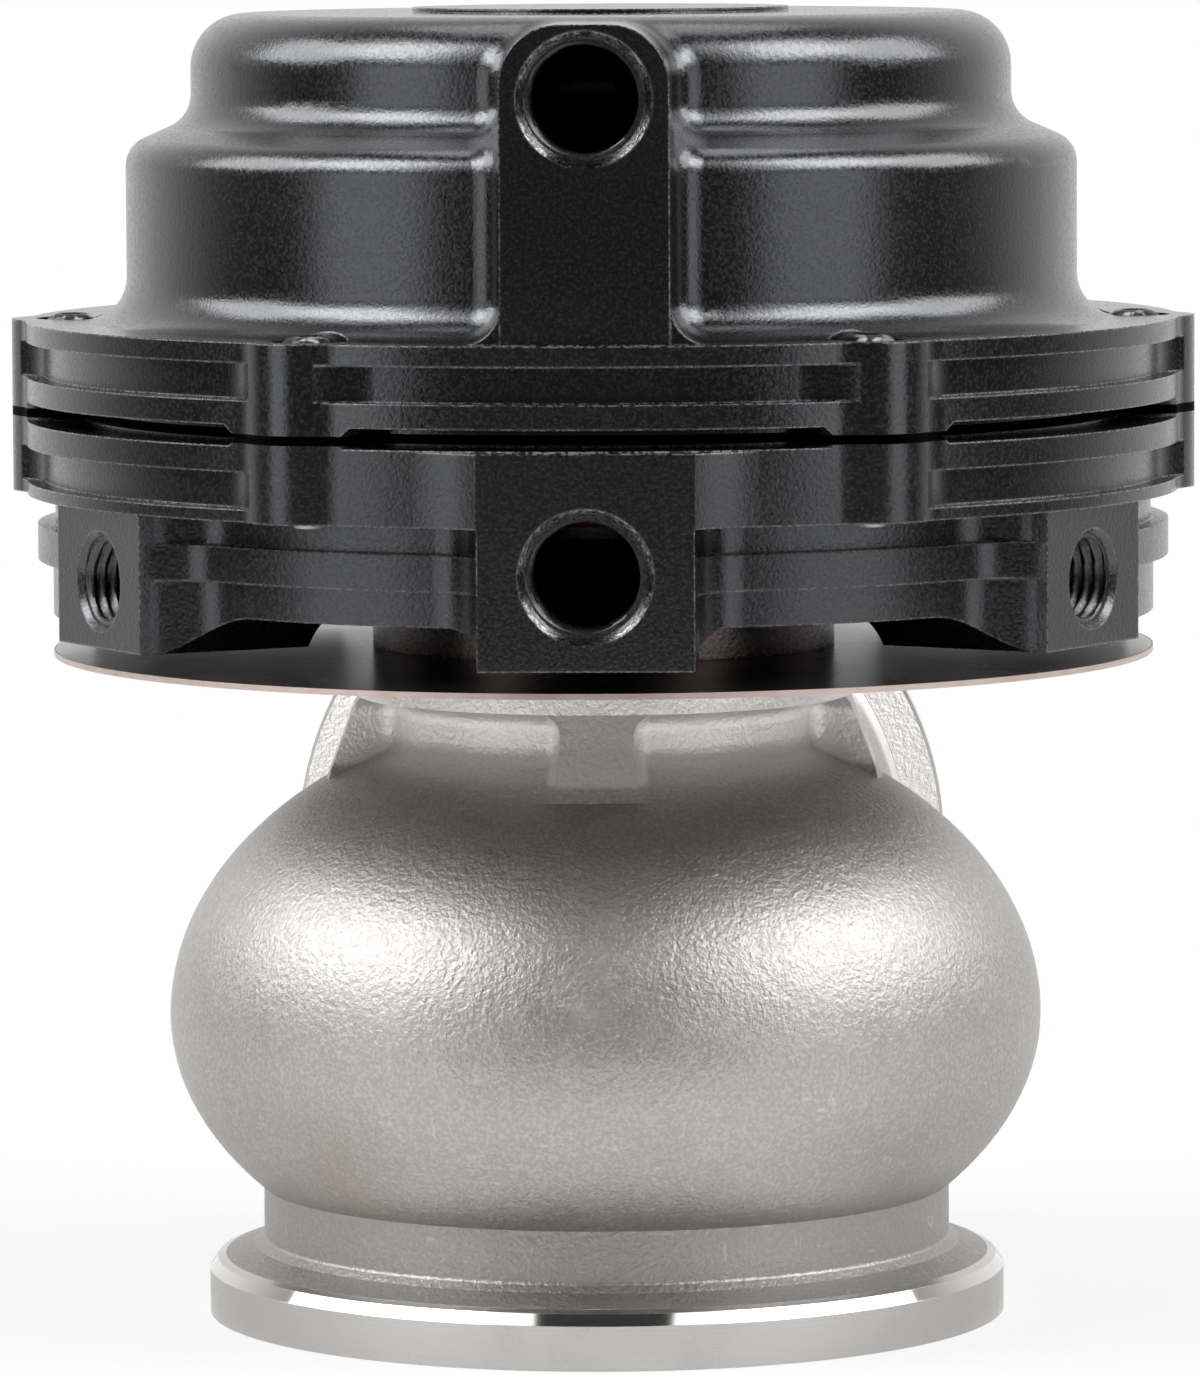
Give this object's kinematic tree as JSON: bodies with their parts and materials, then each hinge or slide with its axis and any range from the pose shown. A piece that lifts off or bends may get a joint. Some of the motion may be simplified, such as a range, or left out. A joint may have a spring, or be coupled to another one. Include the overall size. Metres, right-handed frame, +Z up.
{
  "type": "turbo wastegate",
  "caption": "External turbo wastegate: round cast valve body with V-band inlet and side outlet, under a black two-part diaphragm actuator with air and coolant ports.",
  "frame": {"origin": "centre of the inlet flange's lower face, on the valve axis", "axes": "+Z up the valve stem towards the actuator, +Y towards the outlet flange, -Y the side with the air ports"},
  "size_m": [0.0946, 0.0986, 0.1046],
  "materials": {
    "cast_stainless": "as-cast stainless steel, bead blasted to a satin grain, with machined flange rims",
    "machined_steel": "turned steel",
    "valve_steel": "ground heat resisting steel",
    "bronze": "machined bronze",
    "shield_steel": "thin rolled sheet with a brownish edge",
    "black_anodised": "black anodised, fine bead-blast grain",
    "screw_steel": "plain steel fastener",
    "seal_rubber": "black rubber",
    "silicone": "fabric reinforced red-brown silicone",
    "plain_aluminium": "turned aluminium",
    "spring_steel": "grey coated spring wire"
  },
  "bodies": {
    "casing": {"valve_body": "cast_stainless", "valve_seat": "machined_steel", "valve_guide": "bronze", "heat_shield": "shield_steel", "lower_housing": "black_anodised", "base_screws": "screw_steel", "stem_bushing": "bronze", "stem_seal": "seal_rubber", "seal_retainer": "screw_steel", "coolant_cover": "plain_aluminium", "coolant_seal_inner": "seal_rubber", "coolant_seal_outer": "seal_rubber", "diaphragm": "silicone", "spring_outer": "spring_steel", "spring_inner": "spring_steel", "upper_housing": "black_anodised", "clamp_screws": "screw_steel"},
    "valve_train": {"valve": "valve_steel", "lower_plate": "plain_aluminium", "piston": "plain_aluminium", "stem_washer": "screw_steel", "stem_nut": "screw_steel"}
  },
  "joints": [
    {"name": "valve_lift", "type": "slide", "parent": "casing", "child": "valve_train", "axis": [0, 0, 1], "range_m": [0, 0.009], "stiffness_N_per_m": 6000, "springref_m": -0.012, "deforming": ["spring_outer", "spring_inner", "diaphragm"]}
  ]
}
